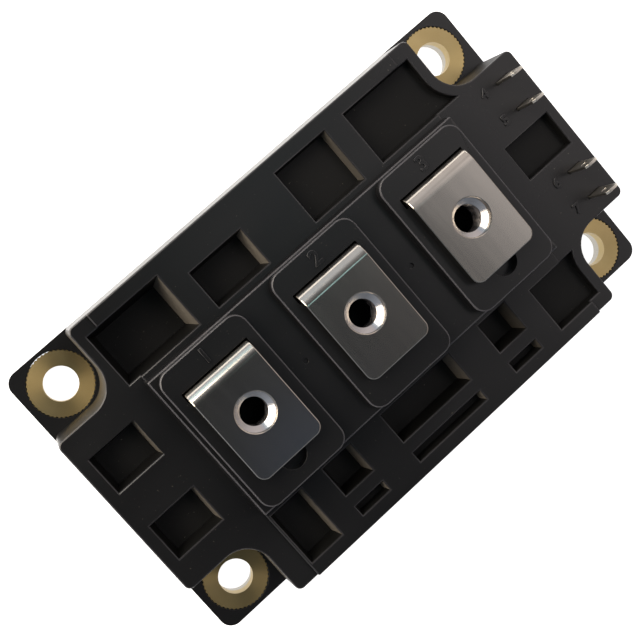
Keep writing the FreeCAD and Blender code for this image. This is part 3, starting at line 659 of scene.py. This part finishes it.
def true_fold(mesh, tab_end, tab_top):
    """The strip with its fold divided finely and laid on true cylinders."""
    shape = bmesh.new()
    shape.from_mesh(mesh)
    # The tab reaches as far towards -Y as the outside of its fold does towards +Y.
    axis = Vector((-tab_end - FOLD_OUTER, tab_top - FOLD_OUTER))
    rounds = (FOLD_OUTER, FOLD_OUTER - STRIP_THICKNESS)

    def bend(vert):
        """Offset from the fold's axis, and the round that the point lies on."""
        away = Vector((vert.co.y, vert.co.z)) - axis
        near = min(rounds, key=lambda radius: abs(away.length - radius))
        folded = min(away) > -WELD_GAP and abs(away.length - near) < FOLD_SLACK
        return away, near if folded else None

    arcs = [edge for edge in shape.edges
            if abs(edge.verts[0].co.x - edge.verts[1].co.x) < WELD_GAP
            and bend(edge.verts[0])[1] and bend(edge.verts[0])[1] == bend(edge.verts[1])[1]]
    bmesh.ops.subdivide_edges(shape, edges=arcs, cuts=FOLD_CUTS, use_grid_fill=True)
    for vert in shape.verts:
        away, radius = bend(vert)
        if radius:
            vert.co.y, vert.co.z = axis + away.normalized() * radius
    shape.to_mesh(mesh)
    shape.free()
    return mesh


strip_nickel = plated_sheet("folded_nickel_strip", light="#c4bdb3", dark="#bcb5ab", lines_mm=STRIP_LINES_MM,
                            depth=0.0000005, rough=0.17, spread=0.02)
for k in (1, 2, 3):
    node = f"screw_terminal_{k}"
    low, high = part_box(node)
    folded = true_fold(welded_copy(node), low.y, high.z)
    skin = link_piece(f"terminal_skin_{k}", eased(folded, STRIP_EDGE), strip_nickel)
    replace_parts(skin, node)
    dress(strip_nickel, node)


# Signal blades: thin copper alloy strip, tinned to a dull white and pierced near the tip. Each
# is pushed up through a slot in the deck and stays upright in it.
BLADE_EDGE = 0.00006
TIN_LINES_MM = (0.4, 0.4, 3.3)
tinned = plated_sheet("tinned_blade", light="#c9c4bb", dark="#a39d93", lines_mm=TIN_LINES_MM, depth=0.000008,
                      rough=0.33, spread=0.05)
for k in (1, 2, 3, 4):
    node = f"signal_blade_{k}"
    skin = link_piece(f"blade_skin_{k}", eased(welded_copy(node), BLADE_EDGE), tinned)
    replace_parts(skin, node)
    dress(tinned, node)


# Moulded numbers: raised with the case in the same plastic, one beside each terminal and blade.
# The mould's engraved strokes are narrow, and their sides and edges are painted grey as a highlight.
NUMBER_HEIGHT = 0.0027
NUMBER_RISE = 0.00026
NUMBER_STROKE = 0.00003
NUMBER_EDGE = 0.00007
NUMBER_RIM_HIGHLIGHT = 0.5
DIGIT_SHARE = 0.7
BLADE_NUMBER_SCALE = 0.7
TERMINAL_NUMBER_Y = 0.0124
BLADE_NUMBER_X = 0.0445


def number_mesh(text, height):
    """A raised number on the origin, with softened edges."""
    letters = bpy.data.curves.new("number", "FONT")
    letters.body = text
    letters.size = height / DIGIT_SHARE
    letters.extrude = NUMBER_RISE
    letters.bevel_depth = NUMBER_EDGE
    letters.align_x = "CENTER"
    letters.align_y = "CENTER"
    letters.offset = NUMBER_STROKE
    return frozen(placed("number", letters))


def raised_numbers(places):
    """One mesh of raised numbers, each at its own place on a deck."""
    joined = bmesh.new()
    for k, (x, y, z, height) in enumerate(places, 1):
        mesh = number_mesh(str(k), height)
        mesh.transform(Matrix.Translation((x, y, z)))
        joined.from_mesh(mesh)
    result = bpy.data.meshes.new("raised_numbers")
    joined.to_mesh(result)
    joined.free()
    # The numbers' sides and rounded edges are painted grey as a highlight.
    rim_highlight = result.attributes.new("rim_highlight", "FLOAT", "FACE")
    rim_highlight.data.foreach_set("value", [NUMBER_RIM_HIGHLIGHT * (face.normal.z < RIM_TILT[1])
                                    for face in result.polygons])
    return result


pad_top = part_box("case")[1].z
number_places = [(x, TERMINAL_NUMBER_Y, pad_top, NUMBER_HEIGHT) for x in TERMINAL_PLACES]
for k in (1, 2, 3, 4):
    low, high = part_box(f"signal_blade_{k}")
    number_places.append((BLADE_NUMBER_X, (low.y + high.y) / 2, END_DECK,
                          NUMBER_HEIGHT * BLADE_NUMBER_SCALE))
link_piece("raised_numbers", raised_numbers(number_places), plastic)


# Studio: white paper under a light tent that is open and dark above the camera. A warm lamp
# stands low at the left, a faint cyan panel low behind the folds, and two small cool panels
# hang overhead.
FLOOR_REACH = 1.5
FLOOR_GLOW = 1.0
# Mottle of the paper. Its fibres are finer and wouldn't show.
FIBRE_MM = 2.5
floor_mesh = bpy.data.meshes.new("floor")
floor_mesh.from_pydata([(-FLOOR_REACH, -FLOOR_REACH, 0), (FLOOR_REACH, -FLOOR_REACH, 0),
                        (FLOOR_REACH, FLOOR_REACH, 0), (-FLOOR_REACH, FLOOR_REACH, 0)], [], [(0, 1, 2, 3)])
floor = placed("floor", floor_mesh)
paper, paper_tree = open_material("pale_paper")
fibres = stretched_noise(paper_tree, (FIBRE_MM,) * 3, detail=2.0)
paper_tint = add_node(paper_tree, "ShaderNodeMix",
                      {MIX_SHARE: fibres.outputs["Fac"], MIX_FROM: paint("#d8d8d8"),
                       MIX_TO: paint("#dcdcdc")}, data_type="RGBA")
paper_shader = add_node(paper_tree, "ShaderNodeBsdfPrincipled",
                        {"Base Color": paper_tint.outputs[MIX_COLOUR], "Roughness": 0.9,
                         "Specular IOR Level": 0.1, "Emission Color": paint("#ffffff"),
                         "Emission Strength": FLOOR_GLOW})
add_node(paper_tree, "ShaderNodeOutputMaterial", {"Surface": paper_shader.outputs["BSDF"]})
floor_mesh.materials.append(paper)

# How bright the tent is at angles from straight up, in radians. It fades to the back share
# towards -Y, over a span on both sides of the middle.
TENT_STOPS = ((0.0, 0.05), (0.22, 0.07), (0.50, 0.25), (0.8, 0.7), (1.0, 0.85))
TENT_TINT = "#e9f2ff"
SPARE_STOP = 0.5
BACK_SHARE = 0.35
BACK_SPAN = 0.7
# Its bright side at +X: where that begins, where it grows brighter towards the top, and how
# bright it is below and above.
SIDE_WAY = (1.0, 0.08, 0.0)
SIDE_RISE = (0.225, 0.40)
SIDE_FALL = (0.60, 0.85)
SIDE_LOW = 0.35
SIDE_HIGH = 1.4
SIDE_TINT = "#fff5f3"
tent = bpy.data.worlds.new("light_tent")
bpy.context.scene.world = tent
tent.use_nodes = True
tree = tent.node_tree
tree.nodes.clear()
look = add_node(tree, "ShaderNodeTexCoord").outputs["Generated"]
way = add_node(tree, "ShaderNodeSeparateXYZ", {"Vector": look})
angle = add_node(tree, "ShaderNodeMath", {0: way.outputs["Z"]}, operation="ARCCOSINE")
ramp = add_node(tree, "ShaderNodeValToRGB", {"Fac": angle.outputs["Value"]})
ramp.color_ramp.interpolation = "EASE"
while len(ramp.color_ramp.elements) < len(TENT_STOPS):
    ramp.color_ramp.elements.new(SPARE_STOP)
for element, (at, level) in zip(ramp.color_ramp.elements, TENT_STOPS):
    element.position = at
    element.color = (level, level, level, 1.0)
share = add_node(tree, "ShaderNodeMapRange",
                 {"Value": way.outputs["Y"], "From Min": -BACK_SPAN, "From Max": BACK_SPAN,
                  "To Min": BACK_SHARE, "To Max": 1.0})
dome = add_node(tree, "ShaderNodeMath", {0: ramp.outputs["Color"], 1: share.outputs["Result"]},
                operation="MULTIPLY")
across = add_node(tree, "ShaderNodeVectorMath", {0: look, 1: SIDE_WAY}, operation="DOT_PRODUCT")
side = add_node(tree, "ShaderNodeMapRange", {"Value": across.outputs["Value"], "From Min": SIDE_RISE[0],
                                             "From Max": SIDE_RISE[1]}, interpolation_type="SMOOTHSTEP")
high = add_node(tree, "ShaderNodeMapRange", {"Value": way.outputs["Z"], "From Min": SIDE_FALL[0],
                                             "From Max": SIDE_FALL[1], "To Min": SIDE_LOW,
                                             "To Max": SIDE_HIGH})
bright_side = add_node(tree, "ShaderNodeMath", {0: side.outputs["Result"], 1: high.outputs["Result"]},
                       operation="MULTIPLY")
level = add_node(tree, "ShaderNodeMath", {0: dome.outputs["Value"], 1: bright_side.outputs["Value"]},
                 operation="MAXIMUM")
tent_tint = add_node(tree, "ShaderNodeMix",
                     {MIX_SHARE: side.outputs["Result"], MIX_FROM: paint(TENT_TINT),
                      MIX_TO: paint(SIDE_TINT)}, data_type="RGBA")
glow = add_node(tree, "ShaderNodeBackground", {"Color": tent_tint.outputs[MIX_COLOUR],
                                              "Strength": level.outputs["Value"]})
add_node(tree, "ShaderNodeOutputWorld", {"Surface": glow.outputs["Background"]})


def panel(name, place, size, power, code):
    """A soft rectangular light that faces the module."""
    light = bpy.data.lights.new(name, "AREA")
    light.shape = "RECTANGLE"
    light.size, light.size_y = size
    light.energy = power
    light.color = paint(code)[:3]
    lamp = placed(name, light)
    lamp.location = place
    lamp.rotation_euler = Vector(place).to_track_quat("Z", "Y").to_euler()


panel("low_lamp", place=(-0.42, 0.53, 0.47), size=(0.90, 0.60), power=11.0, code="#fff1de")
panel("fold_panel", place=(-0.10, 0.62, 0.36), size=(0.30, 0.30), power=0.15, code="#93f0ff")
panel("cool_panel", place=(0.100, 0.040, 0.60), size=(0.06, 0.07), power=0.024, code="#b4e4ea")
panel("blue_panel", place=(0.02, -0.135, 0.60), size=(0.07, 0.07), power=0.0013, code="#9fc3ff")

# The camera stands at the photograph's viewing angle. Its turns are in degrees, and its lens
# and sensor in millimetres.
CAMERA_PLACE = (-0.03682, 0.03120, 0.23380)
CAMERA_TURN = (-0.0754, -11.2037, -41.3536)
CAMERA_LENS = 69.551
CAMERA_SENSOR = 36.0
CAMERA_RANGE = (0.01, 10.0)
camera_data = bpy.data.cameras.new("camera")
camera_data.sensor_width = CAMERA_SENSOR
camera_data.lens = CAMERA_LENS
camera_data.clip_start, camera_data.clip_end = CAMERA_RANGE
camera = placed("camera", camera_data)
camera.location = CAMERA_PLACE
camera.rotation_euler = [math.radians(turn) for turn in CAMERA_TURN]
bpy.context.scene.camera = camera
bpy.context.scene.view_settings.view_transform = "Standard"
